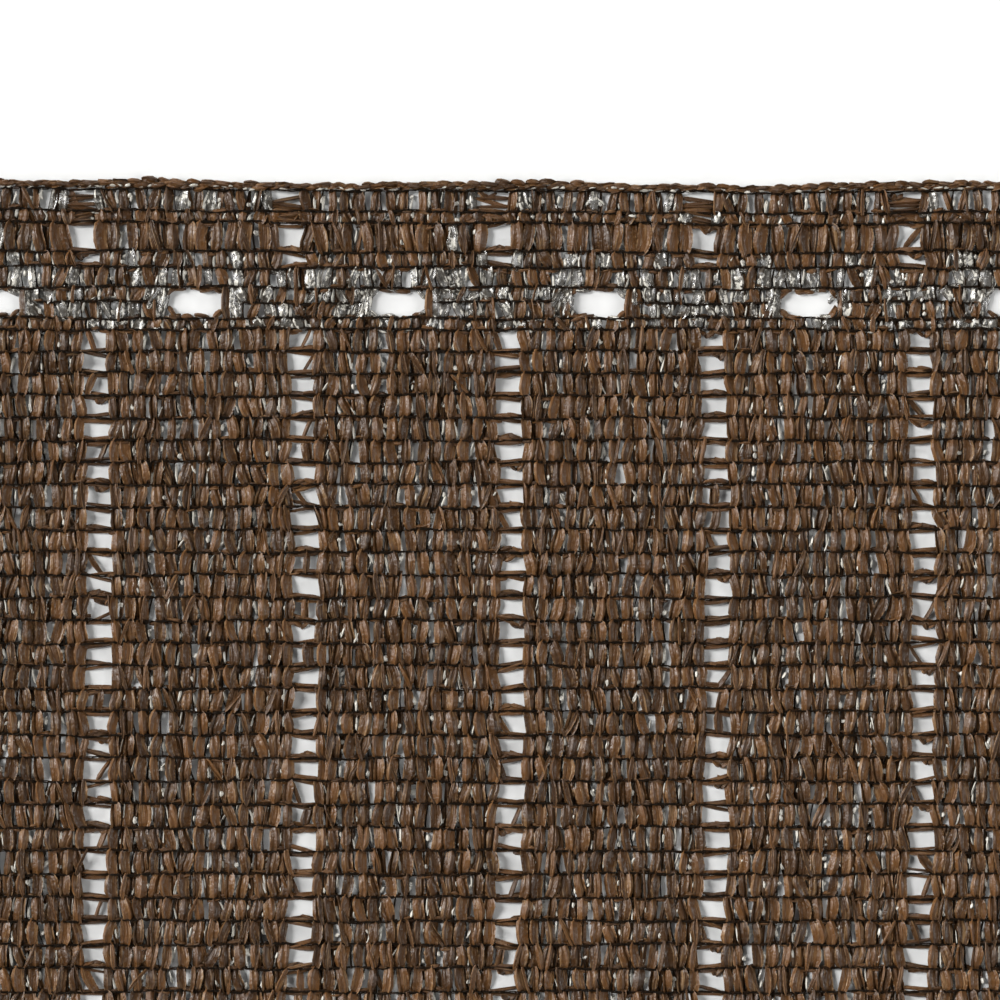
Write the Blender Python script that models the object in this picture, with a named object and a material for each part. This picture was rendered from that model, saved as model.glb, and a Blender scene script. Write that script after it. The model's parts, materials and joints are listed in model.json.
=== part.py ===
"""Knitted shade cloth: a cut length with its selvedge, lying flat and face up.

The cloth is a warp knit of flat tape. Its chain lines run along X and show as grooves between
raised rows of tape. Ladders of small windows cross the rows at an even pitch, and the selvedge
along +Y has a row of knitted-in slots for ties or hooks.

Frame: +Z up out of the cloth's face, +X along the selvedge, +Y towards it. The origin is under the
middle of the cloth, on the surface that it lies on.
"""

import math
import random
from typing import NamedTuple

import bmesh
import bpy

# Driving dimensions, in metres
CLOTH_WIDTH = 0.2148
CROWN_THICKNESS = 0.0016
GROOVE_THICKNESS = 0.0012
HALF_CHAIN = 0.00055
NODE_GAP = 0.0003

FIELD_ROWS = 30
FIRST_ROW_HEIGHT = 0.00418
LAST_ROW_HEIGHT = 0.00450
CUT_ENDS = 0.0015

WINDOW_WIDTH = 0.0044
WINDOW_JITTER = 0.0004
WINDOW_SAG = 0.00022
WINDOW_PITCH = 0.0391
WINDOW_CENTRES = tuple(WINDOW_PITCH * step + 0.0012 for step in (-2, -1, 0, 1, 2))

SLOT_LENGTH = 0.0108
SLOT_CORNER = 0.0011
SLOT_CORNER_RISE = 0.0008
SLOT_CENTRES = (-0.0968, -0.0580, -0.0194, 0.0185, 0.0585, 0.0978)

# Unevenness: the ladders bow to the right, each chain line wavers, and the selvedge's edge waves
BOW_REACH = 0.0010
BOW_CREST_DEPTH = 0.084
BOW_SPAN = 0.055
WAVER = 0.00018
WAVER_LENGTH = 0.046
EDGE_WAVE_DEPTH = 0.028
FIELD_SEED = 41
SELVEDGE_SEED = 17


class Band(NamedTuple):
    """A row of tape between two chain lines, with no windows where their width is 0."""

    name: str
    height: float
    window_width: float
    window_shift: float
    has_slots: bool


SELVEDGE_BANDS = (
    Band("edge_chain", 0.0019, 0.0, -0.0026, False),
    Band("first_row", 0.0040, 0.0054, -0.0026, False),
    Band("narrow_row", 0.0021, 0.0, -0.0022, False),
    Band("dense_row", 0.0055, WINDOW_WIDTH, -0.0018, False),
    Band("short_row", 0.0030, WINDOW_WIDTH, -0.0012, False),
    Band("pale_row", 0.0038, 0.0, -0.0008, False),
    Band("slot_row", 0.0058, 0.0, -0.0004, True),
    Band("closing_row", 0.0021, 0.0, 0.0, False),
)


class EdgePoint(NamedTuple):
    """How far the selvedge's edge stands out at a place along it."""

    along: float
    rise: float


EDGE_WAVE = (
    EdgePoint(-0.108, 0.0006),
    EdgePoint(-0.066, 0.0005),
    EdgePoint(-0.040, -0.0002),
    EdgePoint(0.000, 0.0002),
    EdgePoint(0.030, -0.0005),
    EdgePoint(0.050, -0.0005),
    EdgePoint(0.075, 0.0000),
    EdgePoint(0.108, -0.0001),
)


class Finish(NamedTuple):
    """The colour and gloss of a sheet of tape."""

    base: tuple
    roughness: float


FIELD_FINISH = Finish((0.089, 0.054, 0.033, 1.0), 0.42)
SELVEDGE_FINISH = Finish((0.112, 0.077, 0.055, 1.0), 0.38)


class Station(NamedTuple):
    """A line of points across the cloth: the middle of its feature, and its own place from there.

    side is -1 at a window's or slot's left, 1 at its right and 0 between, and reach is how far the
    station stands from the feature's middle.
    """

    centre: float
    feature: str
    side: int
    reach: float

    def along(self):
        """Place along X before any unevenness."""
        return self.centre + self.reach


class Line(NamedTuple):
    """A line of points along the cloth: a chain line, or the edge of a row's openings.

    chain is the number of the nearest chain line. band is the row's number, or -1 on a chain line,
    and inward is the way to the row's middle: 1 down the cloth, -1 up it, or 0.
    """

    depth: float
    chain: int
    band: int
    inward: int
    window_width: float
    window_shift: float


def clear_scene():
    """Remove the objects that the scene starts with."""
    for existing in list(bpy.data.objects):
        bpy.data.objects.remove(existing, do_unlink=True)


def total_height(bands):
    """Height of a run of rows."""
    return sum(band.height for band in bands)


def ladder_bow(depth):
    """Sideways shift of the ladders at a depth below the selvedge's edge."""
    away = (depth - BOW_CREST_DEPTH) / BOW_SPAN
    return BOW_REACH * (1.0 - away * away)


def field_bands():
    """Rows of the field, which open slowly from the selvedge to the cut edge."""
    rows = []
    depth = total_height(SELVEDGE_BANDS)
    for step in range(FIELD_ROWS):
        share = step / (FIELD_ROWS - 1)
        height = FIRST_ROW_HEIGHT + (LAST_ROW_HEIGHT - FIRST_ROW_HEIGHT) * share
        rows.append(Band("row_%02d" % step, height, WINDOW_WIDTH, ladder_bow(depth), False))
        depth += height
    rows.append(Band("cut_ends", CUT_ENDS, 0.0, ladder_bow(depth), False))
    return rows


def edge_rise(along):
    """How far the selvedge's edge stands out at a place along X, eased between the table's rows."""
    for low, high in zip(EDGE_WAVE[:-1], EDGE_WAVE[1:]):
        if along <= high.along:
            share = max(0.0, (along - low.along) / (high.along - low.along))
            eased = (1.0 - math.cos(math.pi * share)) / 2.0
            return low.rise + (high.rise - low.rise) * eased
    return EDGE_WAVE[-1].rise


def sheet_stations(with_slots):
    """Stations along X: both ends, the windows' sides and middles, and the slots' corners."""
    half_window = WINDOW_WIDTH / 2.0
    half_slot = SLOT_LENGTH / 2.0
    stations = []
    for side in (-1, 1):
        stations.append(Station(0.0, "end", side, side * CLOTH_WIDTH / 2.0))
        stations += [Station(centre, "window", side, side * half_window) for centre in WINDOW_CENTRES]
        if with_slots:
            inner = half_slot - SLOT_CORNER
            stations += [Station(centre, "slot", side, side * half_slot) for centre in SLOT_CENTRES]
            stations += [Station(centre, "slot", 0, side * inner) for centre in SLOT_CENTRES]
    if not with_slots:
        stations += [Station(centre, "window", 0, 0.0) for centre in WINDOW_CENTRES]
    return sorted(stations, key=Station.along)


def sheet_lines(bands, first_depth):
    """Lines down the cloth: the sheet's own edge, then two row edges and a chain line for each row."""
    lines = [Line(first_depth, 0, -1, 0, WINDOW_WIDTH, bands[0].window_shift)]
    depth = first_depth
    for number, band in enumerate(bands):
        below = depth + band.height
        width = band.window_width or WINDOW_WIDTH
        lines.append(Line(depth + HALF_CHAIN, number, number, 1, width, band.window_shift))
        lines.append(Line(below - HALF_CHAIN, number + 1, number, -1, width, band.window_shift))
        lines.append(Line(below, number + 1, -1, 0, WINDOW_WIDTH, band.window_shift))
        depth = below
    return lines


def is_open(bands, upper, lower, left, right):
    """Whether the cell between two lines and two stations is part of a window or slot."""
    if upper.band < 0 or upper.band != lower.band:
        return False
    if (left.feature, left.centre) != (right.feature, right.centre):
        return False
    band = bands[upper.band]
    if left.feature == "window":
        return band.window_width > 0.0
    return left.feature == "slot" and band.has_slots


def chain_wavers(bands, straight_chain, chance):
    """How far and from what phase each chain line wavers; the one along the other sheet is straight."""
    wavers = []
    for chain in range(len(bands) + 1):
        reach = 0.0 if chain == straight_chain else WAVER
        wavers.append((reach, chance.uniform(0.0, 2.0 * math.pi)))
    return wavers


def shaped_point(bands, line, station, waver, chance):
    """Place of one point of the sheet, with the unevenness that the cloth has there."""
    along = station.along()
    across = -line.depth
    at_row_edge = line.band >= 0
    if station.feature == "window":
        along = station.centre + line.window_shift + station.side * line.window_width / 2.0
        if at_row_edge:
            along += chance.uniform(-WINDOW_JITTER, WINDOW_JITTER)
        if station.side == 0:
            across -= WINDOW_SAG
    if station.feature == "slot" and station.side != 0 and at_row_edge and bands[line.band].has_slots:
        across -= line.inward * SLOT_CORNER_RISE
    reach, phase = waver
    across += reach * math.sin(2.0 * math.pi * along / WAVER_LENGTH + phase)
    across += edge_rise(along) * max(0.0, 1.0 - line.depth / EDGE_WAVE_DEPTH)
    return along, across, 0.0


def knitted_sheet(name, bands, first_depth, straight_chain, with_slots, seed):
    """A flat sheet with its windows and slots cut through and its rows raised between chain lines."""
    chance = random.Random(seed)
    stations = sheet_stations(with_slots)
    lines = sheet_lines(bands, first_depth)
    wavers = chain_wavers(bands, straight_chain, chance)
    sheet = bmesh.new()
    bmesh.ops.create_grid(sheet, x_segments=len(stations) - 1, y_segments=len(lines) - 1, size=1.0)
    thickness = sheet.verts.layers.float.new("thickness")
    points = sorted(sheet.verts, key=lambda point: (-round(point.co.y, 5), point.co.x))
    grid_place = {point: divmod(number, len(stations)) for number, point in enumerate(points)}
    openings = []
    for face in sheet.faces:
        row = min(grid_place[point][0] for point in face.verts)
        column = min(grid_place[point][1] for point in face.verts)
        if is_open(bands, lines[row], lines[row + 1], stations[column], stations[column + 1]):
            openings.append(face)
    for point, (row, column) in grid_place.items():
        line = lines[row]
        point.co = shaped_point(bands, line, stations[column], wavers[line.chain], chance)
        point[thickness] = GROOVE_THICKNESS if line.band < 0 else CROWN_THICKNESS
    bmesh.ops.delete(sheet, geom=openings, context="FACES")
    whole = sheet.verts[:] + sheet.edges[:] + sheet.faces[:]
    raised = bmesh.ops.extrude_face_region(sheet, geom=whole)
    for item in raised["geom"]:
        if isinstance(item, bmesh.types.BMVert):
            item.co.z = item[thickness]
    bmesh.ops.recalc_face_normals(sheet, faces=sheet.faces[:])
    mesh = bpy.data.meshes.new(name)
    sheet.to_mesh(mesh)
    sheet.free()
    return bpy.data.objects.new(name, mesh)


def tape_material(name, finish):
    """The plain finish of a sheet of plastic tape."""
    material = bpy.data.materials.new(name)
    material.use_nodes = True
    shader = material.node_tree.nodes["Principled BSDF"]
    shader.inputs["Base Color"].default_value = finish.base
    shader.inputs["Roughness"].default_value = finish.roughness
    shader.inputs["Metallic"].default_value = 0.0
    return material


def centre_on_origin(pieces):
    """Move the sheets so that the origin is under the middle of the whole cloth."""
    corners = [point.co for piece in pieces for point in piece.data.vertices]
    middle_x = (min(corner.x for corner in corners) + max(corner.x for corner in corners)) / 2.0
    middle_y = (min(corner.y for corner in corners) + max(corner.y for corner in corners)) / 2.0
    for piece in pieces:
        for point in piece.data.vertices:
            point.co.x -= middle_x
            point.co.y -= middle_y


def main():
    """Build the selvedge strip and the field, side by side with a hairline gap between them."""
    clear_scene()
    cloth = bpy.data.collections.new("shade_cloth")
    bpy.context.scene.collection.children.link(cloth)
    field_depth = total_height(SELVEDGE_BANDS) + NODE_GAP
    last_chain = len(SELVEDGE_BANDS)
    selvedge = knitted_sheet("selvedge_strip", SELVEDGE_BANDS, 0.0, last_chain, True, SELVEDGE_SEED)
    field = knitted_sheet("knitted_field", field_bands(), field_depth, 0, False, FIELD_SEED)
    selvedge.data.materials.append(tape_material("selvedge_tape", SELVEDGE_FINISH))
    field.data.materials.append(tape_material("field_tape", FIELD_FINISH))
    centre_on_origin([selvedge, field])
    for piece in (selvedge, field):
        cloth.objects.link(piece)


main()
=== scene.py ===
"""Looks of a knitted shade cloth: brown tape knitted between dark chain lines, with a slotted selvedge.

Everything is in metres in the cloth's own frame: +Z up out of its face, +X along the selvedge and
+Y across the cloth towards it. A depth is measured down the cloth from the selvedge's edge.
"""

from __future__ import annotations

import json
import logging
import math
import random
from dataclasses import dataclass, field
from enum import Enum

import bmesh
import bpy
import numpy as np
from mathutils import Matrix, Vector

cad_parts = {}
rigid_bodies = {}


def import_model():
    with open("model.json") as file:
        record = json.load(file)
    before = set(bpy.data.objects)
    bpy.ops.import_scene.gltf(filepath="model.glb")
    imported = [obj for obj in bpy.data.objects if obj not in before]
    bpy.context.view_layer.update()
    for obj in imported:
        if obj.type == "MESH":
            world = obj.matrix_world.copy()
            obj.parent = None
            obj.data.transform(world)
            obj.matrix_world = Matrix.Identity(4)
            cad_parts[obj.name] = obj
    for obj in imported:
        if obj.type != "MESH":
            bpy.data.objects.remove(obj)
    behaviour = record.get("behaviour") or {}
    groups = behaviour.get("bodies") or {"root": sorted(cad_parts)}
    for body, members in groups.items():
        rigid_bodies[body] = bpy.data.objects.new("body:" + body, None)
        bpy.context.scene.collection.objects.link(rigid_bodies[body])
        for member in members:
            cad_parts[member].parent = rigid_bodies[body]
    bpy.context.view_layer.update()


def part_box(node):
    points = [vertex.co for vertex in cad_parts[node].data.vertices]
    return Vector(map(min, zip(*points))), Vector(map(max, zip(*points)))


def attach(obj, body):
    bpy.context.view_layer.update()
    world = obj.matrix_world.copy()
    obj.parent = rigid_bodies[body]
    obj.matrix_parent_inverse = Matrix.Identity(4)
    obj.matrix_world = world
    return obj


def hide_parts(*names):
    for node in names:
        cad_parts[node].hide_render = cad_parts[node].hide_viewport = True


LOG = logging.getLogger("shade_cloth")
MM = 0.001
TAPE_UV = "tape_uv"

# The display's transfer curve: a straight foot below its knee, and a bend above it
FULL_LEVEL = 255.0
CURVE_KNEE = 0.04045
FOOT_SLOPE = 12.92
BEND_OFFSET = 0.055
BEND_SCALE = 1.055
BEND_POWER = 2.4

# Range that the values of a noise texture mostly cover
NOISE_RANGE = (0.3, 0.7)

# Depth of the selvedge with its rope, and the depth that the camera looks at
SELVEDGE_DEPTH = 0.0282
VIEW_DEPTH = 0.0606

Colour = tuple[float, float, float, float]
Place = tuple[float, float, float]
Span = tuple[float, float]


def tint(red: int, green: int, blue: int) -> Colour:
    """Linear colour of a display colour.

    Args:
        red: Red from 0 to 255.
        green: Green from 0 to 255.
        blue: Blue from 0 to 255.

    Returns:
        Linear red, green and blue, with an alpha of one.
    """
    linear = []
    for level in (red, green, blue):
        part = level / FULL_LEVEL
        if part <= CURVE_KNEE:
            linear.append(part / FOOT_SLOPE)
        else:
            linear.append(((part + BEND_OFFSET) / BEND_SCALE) ** BEND_POWER)
    return (linear[0], linear[1], linear[2], 1.0)


class Tape(Enum):
    """The two kinds of flat tape in the knit."""

    BROWN = "brown"
    CLEAR = "clear"


class WindowTrim(Enum):
    """How the tapes around a window lie, with how often each way occurs."""

    PLAIN = 0.34
    ARCH = 0.24
    LOOP = 0.16
    CROSSED = 0.18
    CLOSED = 0.08


@dataclass(frozen=True)
class RowStyle:
    """How the tapes of one row look: sizes in millimetres, slant in degrees, shares from 0 to 1."""

    tape_width: float
    width_spread: float
    second_share: float
    clear_share: float
    slant: float
    crown: float
    strand_share: float


@dataclass(frozen=True)
class Row:
    """A row of tape between two chain lines, in metres."""

    name: str
    depth: float
    height: float
    window_width: float
    window_shift: float
    style: RowStyle
    slotted: bool = False
    foot_strands: int = 0

    def below(self) -> float:
        """Depth of the chain line under the row."""
        return self.depth + self.height


FIELD_STYLE = RowStyle(2.05, 0.40, 0.70, 0.0, 7.0, 1.15, 0.55)

# Name, height, window width, window's shift to the right (all mm), style, slots and the strands that
# fill a window from its foot, from the edge down
SELVEDGE_TABLE = (
    ("first_row", 4.0, 5.4, -2.6, RowStyle(1.75, 0.35, 0.50, 0.21, 8.0, 0.85, 0.60), False, 3),
    ("narrow_row", 2.1, 3.6, -2.2, RowStyle(2.20, 0.40, 0.80, 0.03, 16.0, 0.90, 0.90), False, 1),
    ("dense_row", 5.5, 4.4, -1.8, RowStyle(2.35, 0.40, 0.85, 0.03, 7.0, 1.20, 0.60), False, 0),
    ("short_row", 3.0, 4.6, -1.2, RowStyle(2.00, 0.35, 0.70, 0.18, 12.0, 0.95, 0.70), False, 0),
    ("pale_row", 3.8, 0.0, -0.8, RowStyle(1.90, 0.35, 0.70, 0.54, 12.0, 1.00, 0.60), False, 0),
    ("slot_upper", 2.8, 0.0, -0.4, RowStyle(1.90, 0.40, 0.75, 0.60, 18.0, 1.00, 0.90), True, 0),
    ("slot_lower", 3.0, 0.0, -0.4, RowStyle(1.90, 0.40, 0.75, 0.56, 18.0, 1.00, 0.90), True, 0),
    ("closing_row", 2.1, 0.0, 0.0, RowStyle(2.00, 0.40, 0.85, 0.28, 16.0, 0.90, 0.90), False, 0),
)


@dataclass(frozen=True)
class KnitPlan:
    """The knit's driving sizes in metres, and where its lines, rows, windows and slots lie."""

    edge_y: float
    half_width: float
    repeat: float = 0.0391
    courses_per_repeat: int = 14
    end_room: float = 0.4
    edge_height: float = 0.0019
    cut_ends: float = 0.0015
    field_rows: int = 30
    first_row_height: float = 0.00418
    last_row_height: float = 0.00450
    field_window: float = 0.0044
    first_window: float = -0.0770
    slot_centres: tuple[float, ...] = (-0.0968, -0.0580, -0.0194, 0.0185, 0.0585, 0.0978)
    slot_length: float = 0.0108
    slot_top: float = 0.0203
    slot_height: float = 0.0058
    bow_reach: float = 0.0010
    bow_crest: float = 0.084
    bow_span: float = 0.055
    waver: float = 0.00029
    waver_turn: float = 9311.0
    slow_wave: float = 0.0113
    slow_share: float = 0.6
    quick_wave: float = 0.0041
    quick_share: float = 0.4
    quick_turn: float = 1.7
    kink_wave: float = 0.0013
    kink_spacing: float = 0.0061
    kink_share: float = 0.45
    kink_turn: float = 2.9
    wave_depth: float = 0.028
    edge_places: tuple[float, ...] = (-0.108, -0.066, -0.040, 0.000, 0.030, 0.050, 0.075, 0.108)
    edge_rises: tuple[float, ...] = (0.0006, 0.0005, -0.0002, 0.0002, -0.0005, -0.0005, 0.0000, -0.0001)

    @property
    def course(self) -> float:
        """Width of one course of tape."""
        return self.repeat / self.courses_per_repeat

    def selvedge_rows(self) -> list[Row]:
        """Rows of the selvedge.

        Returns:
            The rows, from the edge rope's lower line down.
        """
        rows = []
        depth = self.edge_height
        for name, height, window, shift, style, slotted, foot_strands in SELVEDGE_TABLE:
            row = Row(name, depth, height * MM, window * MM, shift * MM, style, slotted, foot_strands)
            rows.append(row)
            depth += height * MM
        return rows

    def field_row_list(self) -> list[Row]:
        """Rows of the field, which open slowly from the selvedge to the cut edge.

        Returns:
            The rows, from the selvedge down.
        """
        rows = []
        depth = self.selvedge_rows()[-1].below()
        for step in range(self.field_rows):
            share = step / (self.field_rows - 1)
            height = self.first_row_height + (self.last_row_height - self.first_row_height) * share
            shift = self.bow(depth)
            rows.append(Row(f"row_{step:02d}", depth, height, self.field_window, shift, FIELD_STYLE))
            depth += height
        return rows

    def bow(self, depth: float) -> float:
        """Sideways shift of the ladders at a depth."""
        away = (depth - self.bow_crest) / self.bow_span
        return self.bow_reach * (1.0 - away * away)

    def edge_rise(self, along: float) -> float:
        """How far the selvedge's edge stands out at a place along X."""
        return float(np.interp(along, self.edge_places, self.edge_rises))

    def line_y(self, depth: float, along: float) -> float:
        """Height in Y of the chain line at a depth, with its slow waver and the edge's wave.

        Args:
            depth: The line's depth below the selvedge's edge.
            along: The place along X.

        Returns:
            Its Y in the cloth's frame.
        """
        turn = depth * self.waver_turn
        slow = math.sin(along / self.slow_wave + turn)
        quick = math.sin(along / self.quick_wave + self.quick_turn * turn)
        kink_rise = math.sin(along / self.kink_wave + self.kink_turn * turn)
        kink = kink_rise * math.sin(along / self.kink_spacing + turn)
        fade = max(0.0, 1.0 - depth / self.wave_depth)
        sway = self.waver * (self.slow_share * slow + self.quick_share * quick + self.kink_share * kink)
        return self.edge_y - depth + sway + self.edge_rise(along) * fade

    def course_places(self, shift: float) -> list[tuple[int, float]]:
        """Courses across the cloth.

        Args:
            shift: How far the ladders of the row lie to the right.

        Returns:
            Each course's number and its place along X; number 0 and each repeat from it is a ladder.
        """
        low = math.ceil((-self.half_width - self.first_window - shift) / self.course + self.end_room)
        high = math.floor((self.half_width - self.first_window - shift) / self.course - self.end_room)
        start = self.first_window + shift
        return [(number, start + number * self.course) for number in range(low, high + 1)]

    def is_ladder(self, number: int) -> bool:
        """Whether a course is left out as a ladder of windows."""
        return number % self.courses_per_repeat == 0

    def in_slot(self, along: float, margin: float) -> bool:
        """Whether a place along X lies in a slot, or within a margin of one."""
        reach = self.slot_length / 2.0 + margin
        return any(abs(along - centre) < reach for centre in self.slot_centres)


class NodeBench:
    """Adds nodes to one tree and joins them."""

    def __init__(self, tree: bpy.types.NodeTree) -> None:
        """Keep the tree that the nodes go into."""
        self.tree = tree

    def add(self, kind: str, **settings: object) -> bpy.types.Node:
        """Add a node.

        Args:
            kind: Blender's name of the node.
            **settings: The node's own settings.

        Returns:
            The new node.
        """
        node = self.tree.nodes.new(kind)
        for name, value in settings.items():
            setattr(node, name, value)
        return node

    def feed(self, node: bpy.types.Node, identifier: str, value: object) -> None:
        """Join an input to a socket, or give it a plain value.

        Args:
            node: The node that is fed.
            identifier: The input's identifier or name.
            value: A socket or a plain value.
        """
        sockets = [socket for socket in node.inputs if identifier in (socket.identifier, socket.name)]
        if isinstance(value, bpy.types.NodeSocket):
            self.tree.links.new(value, sockets[0])
        else:
            sockets[0].default_value = value

    def math(self, operation: str, first: object, second: object = 0.0) -> bpy.types.NodeSocket:
        """Result of a Math node.

        Args:
            operation: The node's operation.
            first: Its first input, a socket or a number.
            second: Its second input, a socket or a number.

        Returns:
            The node's output.
        """
        node = self.add("ShaderNodeMath", operation=operation)
        for index, value in enumerate((first, second)):
            if isinstance(value, bpy.types.NodeSocket):
                self.tree.links.new(value, node.inputs[index])
            else:
                node.inputs[index].default_value = value
        return node.outputs[0]

    def spread(
        self, value: object, low: float, high: float, start: float, end: float
    ) -> bpy.types.NodeSocket:
        """Map a value from one range smoothly onto another.

        Args:
            value: The value's socket.
            low: The value's low end.
            high: The value's high end.
            start: Result at the low end.
            end: Result at the high end.

        Returns:
            The mapped value's socket.
        """
        node = self.add("ShaderNodeMapRange", interpolation_type="SMOOTHSTEP")
        names = ("Value", "From Min", "From Max", "To Min", "To Max")
        for name, given in zip(names, (value, low, high, start, end)):
            self.feed(node, name, given)
        return node.outputs["Result"]

    def blend(self, share: object, first: object, second: object) -> bpy.types.NodeSocket:
        """Mix two colours.

        Args:
            share: Share of the second colour.
            first: The first colour.
            second: The second colour.

        Returns:
            The mixed colour's socket.
        """
        node = self.add("ShaderNodeMix", data_type="RGBA")
        self.feed(node, "Factor_Float", share)
        self.feed(node, "A_Color", first)
        self.feed(node, "B_Color", second)
        return [socket for socket in node.outputs if socket.identifier == "Result_Color"][0]


@dataclass(frozen=True)
class FilmGrain:
    """Streaks, crinkles and rims of drawn plastic film, as a node group that the tapes share."""

    name: str = "film_grain"
    streak_step: float = 53.0
    crinkle_step: float = 31.0
    detail: float = 2.0
    rim_range: Span = (0.34, 0.50)

    def group(self) -> bpy.types.NodeTree:
        """The group, built once.

        Returns:
            A node group with the inputs Streaks and Crinkle Scale and the outputs Streak, Crinkle, Rim
            and Tone.
        """
        known = bpy.data.node_groups.get(self.name)
        if known:
            return known
        tree = bpy.data.node_groups.new(self.name, "ShaderNodeTree")
        for name in ("Streaks", "Crinkle Scale"):
            tree.interface.new_socket(name, in_out="INPUT", socket_type="NodeSocketFloat")
        for name in ("Streak", "Crinkle", "Rim", "Tone"):
            tree.interface.new_socket(name, in_out="OUTPUT", socket_type="NodeSocketFloat")
        bench = NodeBench(tree)
        given = bench.add("NodeGroupInput")
        result = bench.add("NodeGroupOutput")
        place = bench.add("ShaderNodeUVMap", uv_map=TAPE_UV)
        parts = bench.add("ShaderNodeSeparateXYZ")
        bench.feed(parts, "Vector", place.outputs["UV"])
        tone = bench.add("ShaderNodeAttribute", attribute_name="tone").outputs["Fac"]
        across = bench.math("MULTIPLY", parts.outputs["X"], given.outputs["Streaks"])
        drawn = bench.add("ShaderNodeCombineXYZ")
        bench.feed(drawn, "X", across)
        bench.feed(drawn, "Y", parts.outputs["Y"])
        bench.feed(drawn, "Z", bench.math("MULTIPLY", tone, self.streak_step))
        streak = bench.add("ShaderNodeTexNoise")
        bench.feed(streak, "Vector", drawn.outputs["Vector"])
        bench.feed(streak, "Scale", 1.0)
        bench.feed(streak, "Detail", self.detail)
        body = bench.add("ShaderNodeTexCoord").outputs["Object"]
        crinkle = bench.add("ShaderNodeTexNoise", noise_dimensions="4D")
        bench.feed(crinkle, "Vector", body)
        bench.feed(crinkle, "W", bench.math("MULTIPLY", tone, self.crinkle_step))
        bench.feed(crinkle, "Scale", given.outputs["Crinkle Scale"])
        bench.feed(crinkle, "Detail", self.detail)
        middle = bench.math("ABSOLUTE", bench.math("SUBTRACT", parts.outputs["X"], 0.5))
        bench.feed(result, "Streak", streak.outputs["Fac"])
        bench.feed(result, "Crinkle", crinkle.outputs["Fac"])
        # Rim mask, which the tapes use for painted highlights and painted dark edges
        bench.feed(result, "Rim", bench.spread(middle, *self.rim_range, 0.0, 1.0))
        bench.feed(result, "Tone", tone)
        return tree

    def place(self, bench: NodeBench, streaks: float, crinkle_scale: float) -> bpy.types.Node:
        """Put the group into a material.

        Args:
            bench: The material's nodes.
            streaks: Number of streaks across a tape, roughly.
            crinkle_scale: Crinkles in a metre.

        Returns:
            The group's node.
        """
        node = bench.add("ShaderNodeGroup", node_tree=self.group())
        bench.feed(node, "Streaks", streaks)
        bench.feed(node, "Crinkle Scale", crinkle_scale)
        return node

    def emboss(
        self, bench: NodeBench, grain: bpy.types.Node, share: float, depth: float
    ) -> bpy.types.NodeSocket:
        """Raise a material's streaks and crinkles.

        Args:
            bench: The material's nodes.
            grain: The group's node in them.
            share: Height of the crinkles as a share of the streaks' height.
            depth: Height of the whole relief.

        Returns:
            The normals of the raised surface.
        """
        crinkles = bench.math("MULTIPLY", grain.outputs["Crinkle"], share)
        bump = bench.add("ShaderNodeBump")
        bench.feed(bump, "Distance", depth)
        bench.feed(bump, "Height", bench.math("ADD", grain.outputs["Streak"], crinkles))
        return bump.outputs["Normal"]


def blank_material(name: str) -> tuple[bpy.types.Material, NodeBench, bpy.types.Node]:
    """A new material that holds a Principled BSDF.

    Args:
        name: The material's name.

    Returns:
        The material, a bench on its nodes and the Principled BSDF.
    """
    material = bpy.data.materials.new(name)
    material.use_nodes = True
    bench = NodeBench(material.node_tree)
    return material, bench, material.node_tree.nodes["Principled BSDF"]


@dataclass(frozen=True)
class BrownTape:
    """Brown plastic tape: satin, drawn lengthwise, with painted highlights that make it paler along its rims
    and creases.
    """

    deep: Colour = tint(41, 25, 10)
    base: Colour = tint(75, 49, 25)
    # pale is the colour of the painted highlights on the streaks and rims
    pale: Colour = tint(124, 98, 68)
    streaks: float = 5.0
    crinkle_scale: float = 1500.0
    tones: Span = (0.15, 1.0)
    sheen_streaks: Span = (0.54, 0.74)
    sheen_share: float = 0.45
    rim_sheen_crinkles: Span = (0.45, 0.62)
    rim_sheen_share: float = 0.7
    roughness: Span = (0.26, 0.55)
    crinkle_relief: float = 0.9
    bump: float = 0.00024
    gloss: float = 0.20

    def material(self) -> bpy.types.Material:
        """Dress of the brown tape.

        Returns:
            The finished material.
        """
        material, bench, skin = blank_material("brown_tape")
        film = FilmGrain()
        grain = film.place(bench, self.streaks, self.crinkle_scale)
        tone = bench.spread(grain.outputs["Tone"], 0.0, 1.0, *self.tones)
        ground = bench.blend(tone, self.deep, self.base)
        # Painted sheen: paler streaks along the tape stand in for highlights on its lengthwise creases
        wear_and_sheen = bench.spread(grain.outputs["Streak"], *self.sheen_streaks, 0.0, self.sheen_share)
        # Painted highlight along both rims of the tape, broken up by the crinkle noise
        rim_sheen_breaks = bench.spread(grain.outputs["Crinkle"], *self.rim_sheen_crinkles, 0.0, self.rim_sheen_share)
        painted_rim = bench.math("MULTIPLY", grain.outputs["Rim"], rim_sheen_breaks)
        share = bench.math("MAXIMUM", wear_and_sheen, painted_rim)
        bench.feed(skin, "Base Color", bench.blend(share, ground, self.pale))
        bench.feed(skin, "Roughness", bench.spread(grain.outputs["Crinkle"], *NOISE_RANGE, *self.roughness))
        bench.feed(skin, "Normal", film.emboss(bench, grain, self.crinkle_relief, self.bump))
        bench.feed(skin, "Specular IOR Level", self.gloss)
        return material


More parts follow.
